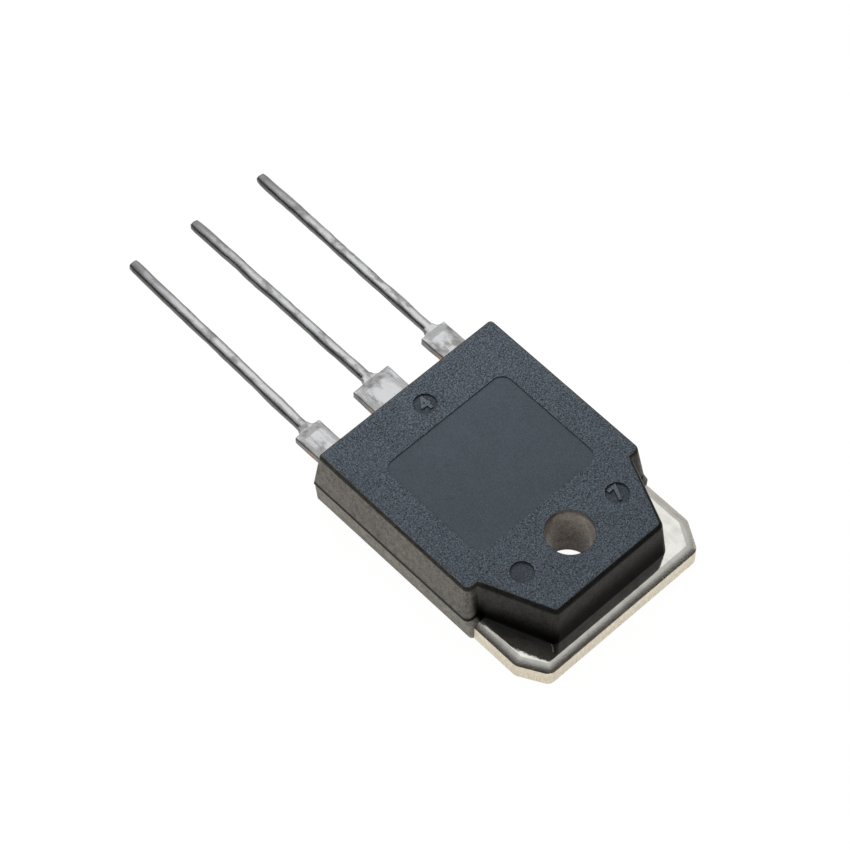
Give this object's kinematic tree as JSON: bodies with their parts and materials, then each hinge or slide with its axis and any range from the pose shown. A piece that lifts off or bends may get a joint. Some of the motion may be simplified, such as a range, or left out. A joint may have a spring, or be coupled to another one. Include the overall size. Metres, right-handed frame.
{
  "type": "power transistor",
  "caption": "Power transistor in a flat dark epoxy package, with a nickel-plated metal tab, a mounting hole and straight solder leads.",
  "frame": {"origin": "axis of the mounting hole, on the flat back face", "axes": "+Z along the hole's axis, out of the front face of the epoxy; +Y from the leads towards the end of the metal tab; +X completes the frame, towards the emitter lead"},
  "size_m": [0.0156, 0.0399, 0.0048],
  "materials": {
    "epoxy": "matte",
    "nickel_plate": "satin",
    "solder_dip": "satin",
    "silicon": "gloss",
    "soft_solder": "satin",
    "aluminium_wire": "satin"
  },
  "bodies": {
    "root": {"moulded_body": "epoxy", "heat_spreader": "nickel_plate", "base_lead": "solder_dip", "collector_lead": "solder_dip", "emitter_lead": "solder_dip", "silicon_die": "silicon", "die_solder": "soft_solder", "base_bond_wire": "aluminium_wire", "emitter_bond_wire_1": "aluminium_wire", "emitter_bond_wire_2": "aluminium_wire"}
  },
  "joints": []
}
